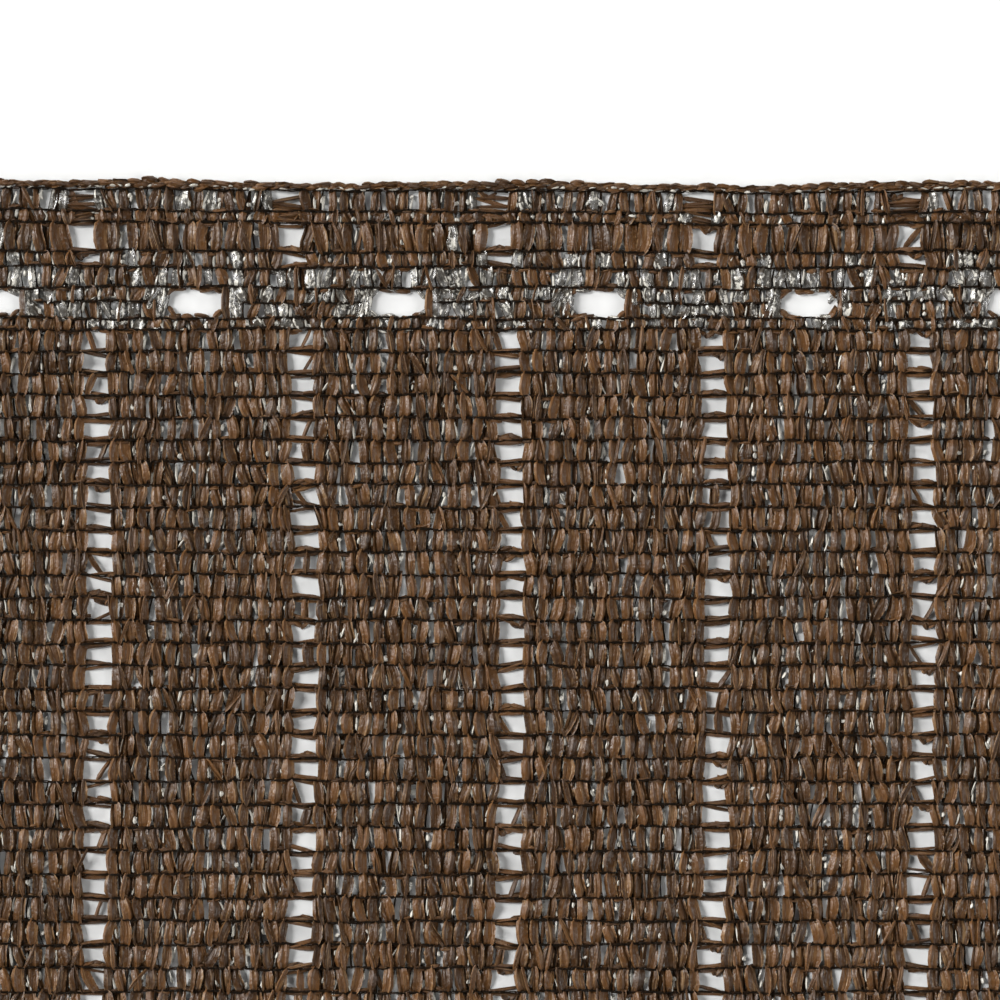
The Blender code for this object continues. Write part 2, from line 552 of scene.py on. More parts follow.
@dataclass(frozen=True)
class ClearTape:
    """Clear plastic tape: glossy and crinkled, with painted white highlights on its crinkles and on its
    bright pieces, a painted dark edge along its rims, and less see-through there.
    """

    base: Colour = tint(68, 63, 56)
    # white is the colour of the painted highlights, and the rim colour that of the painted dark edge
    white: Colour = tint(182, 178, 168)
    painted_rim: Colour = tint(38, 30, 22)
    streaks: float = 3.0
    crinkle_scale: float = 1500.0
    # Tones at which a clear piece is painted white all over as a highlight
    bright_tones: Span = (0.82, 0.88)
    bright_rim: float = 0.35
    white_crumples: Span = (0.24, 0.34)
    alpha: Span = (0.45, 0.85)
    roughness: Span = (0.12, 0.35)
    crinkle_relief: float = 0.8
    bump: float = 0.00018
    gloss: float = 0.6

    def material(self) -> bpy.types.Material:
        """Dress of the clear tape.

        Returns:
            The finished material.
        """
        material, bench, skin = blank_material("clear_tape")
        film = FilmGrain()
        grain = film.place(bench, self.streaks, self.crinkle_scale)
        # Painted highlights: white where streaks and crinkles meet, and all over the bright pieces
        crumpled = bench.math("MULTIPLY", grain.outputs["Streak"], grain.outputs["Crinkle"])
        bright = bench.spread(grain.outputs["Tone"], *self.bright_tones, 0.0, 1.0)
        white = bench.math("MAXIMUM", bench.spread(crumpled, *self.white_crumples, 0.0, 1.0), bright)
        face = bench.blend(white, self.base, self.white)
        # Painted dark edge along the rims, standing in for the shade that refraction gives there; weaker on
        # the bright pieces
        rim_share = bench.spread(bright, 0.0, 1.0, 1.0, self.bright_rim)
        dark = bench.math("MULTIPLY", grain.outputs["Rim"], rim_share)
        bench.feed(skin, "Base Color", bench.blend(dark, face, self.painted_rim))
        haze = bench.math("MAXIMUM", white, grain.outputs["Rim"])
        bench.feed(skin, "Alpha", bench.spread(haze, 0.0, 1.0, *self.alpha))
        bench.feed(skin, "Roughness", bench.spread(grain.outputs["Crinkle"], *NOISE_RANGE, *self.roughness))
        bench.feed(skin, "Normal", film.emboss(bench, grain, self.crinkle_relief, self.bump))
        bench.feed(skin, "Specular IOR Level", self.gloss)
        return material


@dataclass(frozen=True)
class ChainThread:
    """Near-black round filament of the chain stitches: a dark brown filament, darkened further with painted
    shade of the grooves it lies in.
    """

    dark: Colour = tint(15, 9, 4)
    wear_and_sheen: Colour = tint(38, 23, 11)
    fleck_scale: float = 900.0
    worn_flecks: Span = (0.5, 0.75)
    roughness: Span = (0.55, 0.8)
    gloss: float = 0.05

    def material(self) -> bpy.types.Material:
        """Dress of the chain's filament.

        Returns:
            The finished material.
        """
        material, bench, skin = blank_material("chain_thread")
        body = bench.add("ShaderNodeTexCoord").outputs["Object"]
        fleck = bench.add("ShaderNodeTexNoise")
        bench.feed(fleck, "Vector", body)
        bench.feed(fleck, "Scale", self.fleck_scale)
        share = bench.spread(fleck.outputs["Fac"], *self.worn_flecks, 0.0, 1.0)
        bench.feed(skin, "Base Color", bench.blend(share, self.dark, self.wear_and_sheen))
        bench.feed(skin, "Roughness", bench.spread(fleck.outputs["Fac"], *NOISE_RANGE, *self.roughness))
        bench.feed(skin, "Specular IOR Level", self.gloss)
        return material


@dataclass(frozen=True)
class PaleFloor:
    """Plain pale studio floor with a faint mottle."""

    base: Colour = tint(199, 199, 198)
    mottle: Colour = tint(196, 196, 195)
    mottle_scale: float = 9.0
    roughness: float = 0.9

    def material(self) -> bpy.types.Material:
        """Dress of the floor.

        Returns:
            The finished material.
        """
        material, bench, skin = blank_material("pale_floor")
        body = bench.add("ShaderNodeTexCoord").outputs["Object"]
        cloud = bench.add("ShaderNodeTexNoise")
        bench.feed(cloud, "Vector", body)
        bench.feed(cloud, "Scale", self.mottle_scale)
        bench.feed(skin, "Base Color", bench.blend(cloud.outputs["Fac"], self.base, self.mottle))
        bench.feed(skin, "Roughness", self.roughness)
        bench.feed(skin, "Specular IOR Level", 0.0)
        return material


@dataclass(frozen=True)
class TapeShape:
    """One way in which a length of tape is bent, in shares of its half width and of its crown."""

    bow: float
    sway: float
    pinch: float
    curl: float
    crease: float
    crease_at: float
    twist: float
    crease_reach: float = 0.45
    least_rise: float = 0.03

    def point(self, across: float, along: float, end_height: float) -> Place:
        """Place of a point of the tape's face.

        Args:
            across: From -1 at one edge to 1 at the other.
            along: From -1 at one end to 1 at the other.
            end_height: Height of the ends, as a share of the crown.

        Returns:
            The point, with the tape's half width, half length and crown all one.
        """
        middle = 1.0 - along * along
        side = across * (1.0 - self.pinch * along ** 4) + self.bow * middle + self.sway * along * middle
        arch = end_height + (1.0 - end_height) * (1.0 - abs(along) ** 3)
        ridge = self.crease * max(0.0, 1.0 - abs(across - self.crease_at) / self.crease_reach)
        curled = self.curl * across * across * (0.5 + 0.5 * middle)
        rise = arch - curled + ridge + self.twist * across * along
        return (side, along, max(self.least_rise, rise))


# Bow, sway, pinch, curl, crease, its place and twist of each shape
TAPE_SHAPES = (
    TapeShape(0.22, 0.10, 0.45, 0.30, 0.30, 0.0, 0.10),
    TapeShape(-0.28, 0.25, 0.55, 0.15, 0.40, -0.5, -0.18),
    TapeShape(0.32, -0.20, 0.40, 0.20, 0.38, 0.5, 0.22),
    TapeShape(0.00, 0.45, 0.60, 0.35, -0.30, 0.0, 0.30),
    TapeShape(0.30, 0.00, 0.50, -0.20, -0.40, 0.0, -0.25),
    TapeShape(-0.22, -0.40, 0.35, 0.20, -0.42, 0.5, 0.15),
    TapeShape(0.10, 0.30, 0.65, -0.15, -0.40, -0.5, 0.35),
    TapeShape(-0.30, -0.10, 0.30, 0.25, 0.42, -0.5, -0.30),
)


@dataclass(frozen=True)
class TapeTemplate:
    """Closed meshes of short tape lengths, each of a few dozen faces."""

    face_stations: tuple[float, ...] = (-1.0, -0.5, 0.0, 0.5, 1.0)
    back_stations: tuple[float, ...] = (0.5, -0.5)
    row_stations: tuple[float, ...] = (-1.0, -0.75, -0.3, 0.3, 0.75, 1.0)
    thickness: float = 0.11
    end_height: float = 0.20

    def ring(self, shape: TapeShape, along: float) -> list[tuple[float, Place]]:
        """Cross-section of the tape.

        Args:
            shape: How the tape is bent.
            along: Where the cross-section lies, from -1 to 1.

        Returns:
            The place across the tape and the point in space, of each corner in turn.
        """
        corners = []
        for across in self.face_stations:
            corners.append((across, shape.point(across, along, self.end_height)))
        for across in self.back_stations:
            side, length, rise = shape.point(across, along, self.end_height)
            corners.append((across, (side, length, rise - self.thickness)))
        return corners

    def mesh(self, name: str, shape: TapeShape) -> bpy.types.Mesh:
        """Mesh of one bent length of tape, with a UV map that runs across and along it.

        Args:
            name: The mesh's name.
            shape: How the tape is bent.

        Returns:
            A closed mesh of unit size.
        """
        bent = bmesh.new()
        uv = bent.loops.layers.uv.new(TAPE_UV)
        rings = []
        flat = {}
        for along in self.row_stations:
            ring = []
            for across, place in self.ring(shape, along):
                corner = bent.verts.new(place)
                flat[corner] = (0.5 + 0.5 * across, 0.5 + 0.5 * along)
                ring.append(corner)
            rings.append(ring)
        count = len(rings[0])
        length_wise = set()
        for lower, upper in zip(rings, rings[1:]):
            for index in range(count):
                following = (index + 1) % count
                bent.faces.new((lower[index], lower[following], upper[following], upper[index]))
                length_wise.add(frozenset((lower[index], upper[index])))
        bent.faces.new(rings[0][::-1])
        bent.faces.new(rings[-1])
        bmesh.ops.recalc_face_normals(bent, faces=bent.faces)
        for edge in bent.edges:
            edge.smooth = frozenset(edge.verts) not in length_wise
        for face in bent.faces:
            face.smooth = len(face.verts) == 4
            for loop in face.loops:
                loop[uv].uv = flat[loop.vert]
        mesh = bpy.data.meshes.new(name)
        bent.to_mesh(mesh)
        bent.free()
        return mesh


# Legs use the full template; strands, glints and trims use the slim one with some of the same shapes
LEG_TEMPLATE = TapeTemplate()
SLIM_TEMPLATE = TapeTemplate(face_stations=(-1.0, 0.0, 1.0), row_stations=(-1.0, -0.6, 0.0, 0.6, 1.0))
SLIM_SHAPES = (TAPE_SHAPES[0], TAPE_SHAPES[1], TAPE_SHAPES[3], TAPE_SHAPES[7])


@dataclass(frozen=True)
class LinkTemplate:
    """Closed mesh of one chain stitch: filaments that bow apart and meet again."""

    stations: tuple[float, ...] = (-1.0, -0.4, 0.4, 1.0)
    filaments: tuple[float, ...] = (-1.0, 1.0)
    spread: float = 1.1
    lift: float = 0.5
    sides: int = 4

    def mesh(self, name: str) -> bpy.types.Mesh:
        """Mesh of the stitch.

        Args:
            name: The mesh's name.

        Returns:
            A closed mesh with a half length and a filament radius of one.
        """
        link = bmesh.new()
        uv = link.loops.layers.uv.new(TAPE_UV)
        for side in self.filaments:
            rings = []
            for along in self.stations:
                part = side * self.spread * (1.0 - along * along)
                high = side * self.lift * along
                ring = []
                for step in range(self.sides):
                    angle = math.tau * (step + 0.5) / self.sides
                    ring.append(link.verts.new((along, part + math.cos(angle), high + math.sin(angle))))
                rings.append(ring)
            for lower, upper in zip(rings, rings[1:]):
                for index in range(self.sides):
                    following = (index + 1) % self.sides
                    link.faces.new((lower[index], lower[following], upper[following], upper[index]))
            link.faces.new(rings[0][::-1])
            link.faces.new(rings[-1])
        bmesh.ops.recalc_face_normals(link, faces=link.faces)
        for face in link.faces:
            face.smooth = True
            for loop in face.loops:
                loop[uv].uv = (0.5 + 0.5 * loop.vert.co.x, 0.5 + 0.2 * loop.vert.co.y)
        mesh = bpy.data.meshes.new(name)
        link.to_mesh(mesh)
        link.free()
        return mesh


STITCH_LINK = LinkTemplate()
SINGLE_LINK = LinkTemplate(stations=(-1.0, 0.0, 1.0), filaments=(0.7,))

# Their places in the set of links
STITCH_VARIANT = 0
SINGLE_VARIANT = 1


@dataclass
class Scatter:
    """Places, turns and sizes of the pieces of one kind, gathered before they become one mesh."""

    name: str
    places: list[Place] = field(default_factory=list)
    turns: list[Place] = field(default_factory=list)
    sizes: list[Place] = field(default_factory=list)
    variants: list[int] = field(default_factory=list)
    tones: list[float] = field(default_factory=list)

    def add(self, place: Place, turn: Place, size: Place, variant: int, tone: float) -> None:
        """Add one piece.

        Args:
            place: Where its origin goes.
            turn: Its turns about X, Y and Z in radians.
            size: Its scale along its own axes.
            variant: Number of its template.
            tone: A share from 0 to 1 that varies its colour and grain.
        """
        self.places.append(place)
        self.turns.append(turn)
        self.sizes.append(size)
        self.variants.append(variant)
        self.tones.append(tone)

    def points(self) -> bpy.types.Object:
        """Bare points that carry the pieces' turns, sizes, templates and tones.

        Returns:
            An object that holds nothing but the points.
        """
        mesh = bpy.data.meshes.new(self.name)
        mesh.from_pydata(self.places, [], [])
        for name, values in (("turn", self.turns), ("size", self.sizes)):
            layer = mesh.attributes.new(name, "FLOAT_VECTOR", "POINT")
            layer.data.foreach_set("vector", np.array(values, dtype=np.float32).ravel())
        layer = mesh.attributes.new("variant", "INT", "POINT")
        layer.data.foreach_set("value", np.array(self.variants, dtype=np.int32))
        layer = mesh.attributes.new("tone", "FLOAT", "POINT")
        layer.data.foreach_set("value", np.array(self.tones, dtype=np.float32))
        piece = bpy.data.objects.new(self.name, mesh)
        bpy.context.scene.collection.objects.link(piece)
        return piece


@dataclass
class Loom:
    """Turns scattered places into knitted pieces with one Geometry Nodes tree."""

    crumple: float = 0.00024
    crumple_size: float = 0.0008
    tone_step: float = 40.0
    seed: float = 4.0
    rest_height: float = 0.00004

    def __post_init__(self) -> None:
        """Build the tree once and start with no templates."""
        self.tree = self.build_tree()
        self.sets: dict[str, bpy.types.Collection] = {}

    def build_tree(self) -> bpy.types.NodeTree:
        """The tree that sets templates on points, crumples them and gives them their material.

        Returns:
            A Geometry Nodes tree with named inputs for its sizes and seed.
        """
        tree = bpy.data.node_groups.new("knit_pieces", "GeometryNodeTree")
        inputs = (
            ("Geometry", "NodeSocketGeometry"),
            ("Templates", "NodeSocketCollection"),
            ("Crumple", "NodeSocketFloat"),
            ("Crumple Size", "NodeSocketFloat"),
            ("Rest Height", "NodeSocketFloat"),
            ("Seed", "NodeSocketFloat"),
            ("Material", "NodeSocketMaterial"),
        )
        for name, kind in inputs:
            tree.interface.new_socket(name, in_out="INPUT", socket_type=kind)
        tree.interface.new_socket("Geometry", in_out="OUTPUT", socket_type="NodeSocketGeometry")
        bench = NodeBench(tree)
        given = bench.add("NodeGroupInput").outputs
        result = bench.add("NodeGroupOutput")
        templates = bench.add("GeometryNodeCollectionInfo")
        bench.feed(templates, "Collection", given["Templates"])
        bench.feed(templates, "Separate Children", True)
        bench.feed(templates, "Reset Children", True)
        fields = {}
        kinds = {"turn": "FLOAT_VECTOR", "size": "FLOAT_VECTOR", "variant": "INT", "tone": "FLOAT"}
        for name, kind in kinds.items():
            node = bench.add("GeometryNodeInputNamedAttribute", data_type=kind)
            bench.feed(node, "Name", name)
            fields[name] = node.outputs["Attribute"]
        turned = bench.add("FunctionNodeEulerToRotation")
        bench.feed(turned, "Euler", fields["turn"])
        laid = bench.add("GeometryNodeInstanceOnPoints")
        bench.feed(laid, "Points", given["Geometry"])
        bench.feed(laid, "Instance", templates.outputs["Instances"])
        bench.feed(laid, "Pick Instance", True)
        bench.feed(laid, "Instance Index", fields["variant"])
        bench.feed(laid, "Rotation", turned.outputs["Rotation"])
        bench.feed(laid, "Scale", fields["size"])
        real = bench.add("GeometryNodeRealizeInstances")
        bench.feed(real, "Geometry", laid.outputs["Instances"])
        noise = bench.add("ShaderNodeTexNoise", noise_dimensions="4D")
        bench.feed(noise, "Vector", bench.add("GeometryNodeInputPosition").outputs["Position"])
        stepped = bench.math("MULTIPLY", fields["tone"], self.tone_step)
        bench.feed(noise, "W", bench.math("ADD", stepped, given["Seed"]))
        bench.feed(noise, "Scale", bench.math("DIVIDE", 1.0, given["Crumple Size"]))
        centred = bench.add("ShaderNodeVectorMath", operation="SUBTRACT")
        bench.feed(centred, "Vector", noise.outputs["Color"])
        centred.inputs[1].default_value = (0.5, 0.5, 0.5)
        push = bench.add("ShaderNodeVectorMath", operation="SCALE")
        bench.feed(push, "Vector", centred.outputs["Vector"])
        bench.feed(push, "Scale", bench.math("MULTIPLY", given["Crumple"], 2.0))
        crumpled = bench.add("GeometryNodeSetPosition")
        bench.feed(crumpled, "Geometry", real.outputs["Geometry"])
        bench.feed(crumpled, "Offset", push.outputs["Vector"])
        parts = bench.add("ShaderNodeSeparateXYZ")
        bench.feed(parts, "Vector", bench.add("GeometryNodeInputPosition").outputs["Position"])
        lifted = bench.add("ShaderNodeCombineXYZ")
        bench.feed(lifted, "X", parts.outputs["X"])
        bench.feed(lifted, "Y", parts.outputs["Y"])
        bench.feed(lifted, "Z", bench.math("MAXIMUM", parts.outputs["Z"], given["Rest Height"]))
        resting = bench.add("GeometryNodeSetPosition")
        bench.feed(resting, "Geometry", crumpled.outputs["Geometry"])
        bench.feed(resting, "Position", lifted.outputs["Vector"])
        dressed = bench.add("GeometryNodeSetMaterial")
        bench.feed(dressed, "Geometry", resting.outputs["Geometry"])
        bench.feed(dressed, "Material", given["Material"])
        bench.feed(result, "Geometry", dressed.outputs["Geometry"])
        return tree

    def keep_templates(self, name: str, meshes: list[bpy.types.Mesh]) -> None:
        """Keep a set of templates under a name.

        Args:
            name: The set's name.
            meshes: Its meshes, in the order of their variant numbers.
        """
        templates = bpy.data.collections.new(name)
        for mesh in meshes:
            templates.objects.link(bpy.data.objects.new(mesh.name, mesh))
        self.sets[name] = templates

    def weave(
        self, scatter: Scatter, template_set: str, material: bpy.types.Material
    ) -> bpy.types.Object:
        """Make one piece out of the scattered places.

        Args:
            scatter: The places.
            template_set: Name of the templates that go on them.
            material: What the piece is dressed in.

        Returns:
            The piece, as a plain mesh at the origin.
        """
        piece = scatter.points()
        modifier = piece.modifiers.new("knit", "NODES")
        modifier.node_group = self.tree
        values = {
            "Templates": self.sets[template_set],
            "Crumple": self.crumple,
            "Crumple Size": self.crumple_size,
            "Rest Height": self.rest_height,
            "Seed": self.seed,
            "Material": material,
        }
        for item in self.tree.interface.items_tree:
            if item.in_out == "INPUT" and item.name in values:
                modifier[item.identifier] = values[item.name]
        graph = bpy.context.evaluated_depsgraph_get()
        evaluated = piece.evaluated_get(graph)
        mesh = bpy.data.meshes.new_from_object(evaluated, preserve_all_data_layers=True, depsgraph=graph)
        piece.modifiers.remove(modifier)
        spare = piece.data
        piece.data = mesh
        bpy.data.meshes.remove(spare)
        for name in ("turn", "size", "variant"):
            if name in mesh.attributes:
                mesh.attributes.remove(mesh.attributes[name])
        mesh.name = scatter.name
        faces = len(mesh.polygons)
        LOG.info("%s: %d faces of %d laid pieces", scatter.name, faces, len(scatter.places))
        return piece

    def put_away(self) -> None:
        """Remove the templates."""
        for templates in self.sets.values():
            for template in list(templates.objects):
                bpy.data.objects.remove(template)
            bpy.data.collections.remove(templates)
        self.sets.clear()


@dataclass(frozen=True)
class TrimSizes:
    """Sizes, places and leans of the tapes in a window: metres, shares and radians."""

    foot_reach: float = 0.0010
    foot_pitch: float = 0.0007
    arch_leans: Span = (0.15, 0.30)
    arch_place: float = 0.26
    arch_height: float = 0.0006
    arch_half: float = 0.0014
    loop_shift: float = 0.3
    loop_length: float = 0.0010
    loop_lengths: Span = (0.7, 1.3)
    loop_reach: float = 0.7
    loop_leans: Span = (0.45, 1.0)
    loop_drop: float = 0.0008
    cross_places: Span = (0.15, 0.4)
    cross_length: float = 0.6
    cross_leans: Span = (0.9, 1.25)
    closing_widths: Span = (0.3, 0.5)
    closing_jitter: float = 0.0008
    plain_jitter: float = 0.001
    plain_length: float = 0.8
    slanted_widths: Span = (0.9, 1.7)


@dataclass
class TapeRows:
    """Legs, strands and loops of tape of a group of rows: metres, shares and degrees."""

    plan: KnitPlan
    rows: list[Row]
    rng: random.Random
    brown: Scatter
    clear: Scatter
    chain: Scatter
    trims: TrimSizes = TrimSizes()
    overlap: float = 0.00045
    width_sigma: float = 0.6
    width_limits: Span = (0.6, 1.4)
    crown_spread: Span = (0.85, 1.15)
    side_jitter: float = 0.00022
    window_jitter: float = 0.00015
    second_offset: float = 0.00130
    second_jitter: float = 0.0002
    second_width: float = 0.50
    second_widths: Span = (0.7, 1.25)
    second_crown: float = 0.55
    glint_counts: tuple[int, ...] = (0, 1, 1, 2, 2)
    glint_gap: Span = (0.00030, 0.00060)
    glint_stretches: tuple[float, ...] = (0.8, 1.1, 1.8, 2.4)
    glint_width: float = 0.00062
    glint_widths: Span = (0.8, 1.4)
    glint_length: float = 0.00072
    glint_lengths: Span = (0.8, 1.2)
    glint_room: float = 2.1
    glint_places: Span = (0.25, 0.7)
    glint_crown: float = 0.00082
    glint_slant: float = 12.0
    thread_share: float = 0.85
    thread_gap: float = 0.00015
    thread_radius: float = 0.00017
    thread_radii: Span = (0.8, 1.3)
    thread_height: float = 0.00060
    thread_heights: Span = (0.7, 1.3)
    thread_slant: float = 7.0
    over_share: float = 0.20
    over_jitter: float = 0.0006
    over_widths: Span = (0.25, 0.5)
    over_height: float = 0.00082
    over_crown: float = 0.00055
    over_slant: float = 14.0
    strand_clear: float = 0.7
    strand_halves: Span = (0.35, 0.65)
    strand_offsets: Span = (0.00028, 0.00055)
    strand_slant: float = 7.0
    strand_width: float = 0.00038
    strand_widths: Span = (0.7, 1.4)
    strand_height: float = 0.00082
    slot_margin: float = 0.0009
    dull_tones: float = 0.8
    # Tones of the clear pieces that are painted white as highlights
    bright_tones: Span = (0.9, 1.0)

    def build(self) -> None:
        """Lay the tapes of every row."""
        for row in self.rows:
            for number, along in self.plan.course_places(row.window_shift):
                self.lay_course(row, number, along)

    def lay_course(self, row: Row, number: int, along: float) -> None:
        """Lay one course of a row.

        Args:
            row: The row.
            number: The course's number.
            along: The course's place along X.
        """
        if row.slotted and self.plan.in_slot(along, self.slot_margin):
            return
        if row.window_width > 0.0 and self.plan.is_ladder(number):
            self.lay_window(row, along)
            return
        style = row.style
        opens_left = row.window_width > 0.0 and self.plan.is_ladder(number - 1)
        opens_right = row.window_width > 0.0 and self.plan.is_ladder(number + 1)
        width = self.leg_width(style)
        place = along + self.rng.gauss(0.0, self.side_jitter)
        for side, opens in ((-1, opens_left), (1, opens_right)):
            if opens:
                window = along + side * self.plan.course
                gap = row.window_width / 2.0 + width / 2.0 + self.rng.gauss(0.0, self.window_jitter)
                place = window - side * gap
        kind = self.pick_kind(style.clear_share)
        self.lay_leg(row, kind, place, width, style.crown * MM, self.rng.gauss(0.0, style.slant))
        if self.rng.random() < style.second_share:
            side = self.rng.choice((-1.0, 1.0))
            if opens_left or opens_right:
                side = -1.0 if opens_right else 1.0
            self.lay_second(row, place, width, side)
        if self.rng.random() < self.thread_share and not opens_right:
            self.lay_thread(row, place + width / 2.0 + self.rng.uniform(0.0, self.thread_gap))
        if not opens_right:
            for _ in range(self.rng.choice(self.glint_counts)):
                self.lay_glint(row, place + width / 2.0 + self.rng.uniform(*self.glint_gap))
        if self.rng.random() < self.over_share:
            self.lay_over(row, place, width)
        if self.rng.random() < style.strand_share:
            kind = self.pick_kind(style.clear_share * self.strand_clear)
            half = self.plan.course * self.rng.uniform(*self.strand_halves)
            middle = along + self.rng.uniform(-0.5, 0.5) * self.plan.course
            self.lay_strand(row.below(), middle, half, kind)

    def leg_width(self, style: RowStyle) -> float:
        """Width of a leg.

        Args:
            style: The row's style.

        Returns:
            A width around the style's own, within its limits.
        """
        width = self.rng.gauss(style.tape_width, style.width_spread * self.width_sigma) * MM
        least, most = self.width_limits
        return min(max(width, least * style.tape_width * MM), most * style.tape_width * MM)

    def pick_kind(self, clear_share: float) -> Tape:
        """Kind of a tape, clear as often as the share says."""
        return Tape.CLEAR if self.rng.random() < clear_share else Tape.BROWN

    def lay_second(self, row: Row, place: float, width: float, side: float) -> None:
        """Lay a narrower tape beside a leg.

        Args:
            row: The row.
            place: The leg's place along X.
            width: The leg's width.
            side: 1 to the right of the leg, -1 to its left.
        """
        style = row.style
        kind = self.pick_kind(style.clear_share)
        reach = place + side * self.rng.gauss(self.second_offset, self.second_jitter)
        thin = width * self.second_width * self.rng.uniform(*self.second_widths)
        crown = style.crown * self.second_crown * MM
        self.lay_leg(row, kind, reach, thin, crown, self.rng.gauss(0.0, style.slant))

    def lay_over(self, row: Row, place: float, width: float) -> None:
        """Lay a narrow brown tape over a leg and the chain at its foot.

        Args:
            row: The row.
            place: The leg's place along X.
            width: The leg's width.
        """
        over = place + self.rng.gauss(0.0, self.over_jitter)
        thin = width * self.rng.uniform(*self.over_widths)
        slant = self.rng.gauss(0.0, self.over_slant)
        self.lay_leg(row, Tape.BROWN, over, thin, self.over_crown, slant, self.over_height)

    def lay_leg(
        self,
        row: Row,
        kind: Tape,
        along: float,
        width: float,
        crown: float,
        slant: float,
        height: float = 0.0,
    ) -> None:
        """Lay a leg of tape from the row's lower line to its upper one.

        Args:
            row: The row.
            kind: Kind of tape.
            along: The leg's place along X.
            width: The tape's width.
            crown: Height of the leg's middle over its foot.
            slant: The leg's lean in degrees.
            height: Height of its foot, where it passes over the chain.
        """
        top = self.plan.line_y(row.depth, along)
        bottom = self.plan.line_y(row.below(), along)
        place = (along, (top + bottom) / 2.0, height)
        turn = (0.0, 0.0, math.radians(slant))
        rise = crown * self.rng.uniform(*self.crown_spread)
        self.put(kind, place, turn, (width / 2.0, (top - bottom) / 2.0 + self.overlap, rise))

    def lay_thread(self, row: Row, along: float) -> None:
        """Lay a dark filament beside a leg, from the row's lower line to its upper one; it is partly the
        laid-in filament and partly painted shade standing in for the shaded slit beside the leg.

        Args:
            row: The row.
            along: The filament's place along X.
        """
        top = self.plan.line_y(row.depth, along)
        bottom = self.plan.line_y(row.below(), along)
        radius = self.thread_radius * self.rng.uniform(*self.thread_radii)
        height = self.thread_height * self.rng.uniform(*self.thread_heights)
        turn = (0.0, 0.0, math.pi / 2.0 + math.radians(self.rng.gauss(0.0, self.thread_slant)))
        size = ((top - bottom) / 2.0, radius, radius)
        self.chain.add((along, (top + bottom) / 2.0, height), turn, size, SINGLE_VARIANT, self.rng.random())

    def lay_glint(self, row: Row, along: float) -> None:
        """Lay a short bright bit of clear tape low in the gap beside a leg; its white is a painted highlight.

        Args:
            row: The row.
            along: The bit's place along X.
        """
        top = self.plan.line_y(row.depth, along)
        bottom = self.plan.line_y(row.below(), along)
        stretch = self.rng.choice(self.glint_stretches)
        length = self.glint_length * stretch * self.rng.uniform(*self.glint_lengths)
        half = min(length, (top - bottom) / self.glint_room)
        place = (along, bottom + (top - bottom) * self.rng.uniform(*self.glint_places), 0.0)
        slim = self.glint_width * self.rng.uniform(*self.glint_widths) / math.sqrt(stretch)
        size = (slim / 2.0, half, self.glint_crown)
        turn = (0.0, 0.0, math.radians(self.rng.gauss(0.0, self.glint_slant)))
        self.put(Tape.CLEAR, place, turn, size, slim=True, bright=True)

    def lay_strand(
        self, depth: float, along: float, half: float, kind: Tape, side: float = 0.0
    ) -> None:
        """Lay a strand of tape along a chain line.

        Args:
            depth: The line's depth.
            along: The strand's middle along X.
            half: Half its length.
            kind: Kind of tape.
            side: 1 above the line, -1 below it, 0 for either.
        """
        reach = self.plan.half_width - half
        middle = min(max(along, -reach), reach)
        offset = (side or self.rng.choice((-1.0, 1.0))) * self.rng.uniform(*self.strand_offsets)
        slope = self.plan.line_y(depth, middle + half) - self.plan.line_y(depth, middle - half)
        angle = math.atan2(slope, 2.0 * half) + math.radians(self.rng.gauss(0.0, self.strand_slant))
        place = (middle, self.plan.line_y(depth, middle) + offset, 0.0)
        width = self.strand_width * self.rng.uniform(*self.strand_widths)
        size = (width, half, self.strand_height * self.rng.uniform(*self.crown_spread))
        self.put(kind, place, (0.0, 0.0, angle + math.pi / 2.0), size, slim=True)

    def lay_window(self, row: Row, along: float) -> None:
        """Lay the strands that cross the foot of a window, and its trim.

        Args:
            row: The window's row.
            along: The window's middle along X.
        """
        sizes = self.trims
        half = row.window_width / 2.0 + sizes.foot_reach
        trim = self.rng.choices(list(WindowTrim), [way.value for way in WindowTrim])[0]
        for side in (1.0, -1.0):
            self.lay_strand(row.below(), along, half, Tape.BROWN, side=side)
        for step in range(row.foot_strands):
            depth = row.below() - (step + 1) * sizes.foot_pitch
            self.lay_strand(depth, along, half, Tape.BROWN, side=1.0)
        if trim is WindowTrim.ARCH:
            self.lay_arch(row, along)
        elif trim is WindowTrim.LOOP:
            self.lay_loop(row, along)
        elif trim is WindowTrim.CROSSED:
            self.lay_cross(row, along)
        elif trim is WindowTrim.CLOSED:
            self.lay_closing(row, along)
        else:
            middle = along + self.rng.uniform(-sizes.plain_jitter, sizes.plain_jitter)
            self.lay_strand(row.below(), middle, half * sizes.plain_length, Tape.BROWN)

    def lay_arch(self, row: Row, along: float) -> None:
        """Lay two narrow tapes that rise to each other over a window's foot.

        Args:
            row: The window's row.
            along: The window's middle along X.
        """
        sizes = self.trims
        rise = self.rng.uniform(*sizes.arch_leans)
        for side in (-1.0, 1.0):
            middle = along + side * row.window_width * sizes.arch_place
            height = self.plan.line_y(row.below(), middle) + sizes.arch_height
            self.lay_slanted(middle, height, sizes.arch_half, -side * rise)

    def lay_loop(self, row: Row, along: float) -> None:
        """Lay two short tapes that hang into a window and meet in a tip.

        Args:
            row: The window's row.
            along: The window's middle along X.
        """
        sizes = self.trims
        tip = along + self.rng.uniform(-sizes.loop_shift, sizes.loop_shift) * row.window_width
        for side in (-1.0, 1.0):
            length = sizes.loop_length * self.rng.uniform(*sizes.loop_lengths)
            middle = tip + side * length * sizes.loop_reach
            lean = side * self.rng.uniform(*sizes.loop_leans)
            self.lay_slanted(middle, self.plan.line_y(row.depth, middle) - sizes.loop_drop, length, lean)

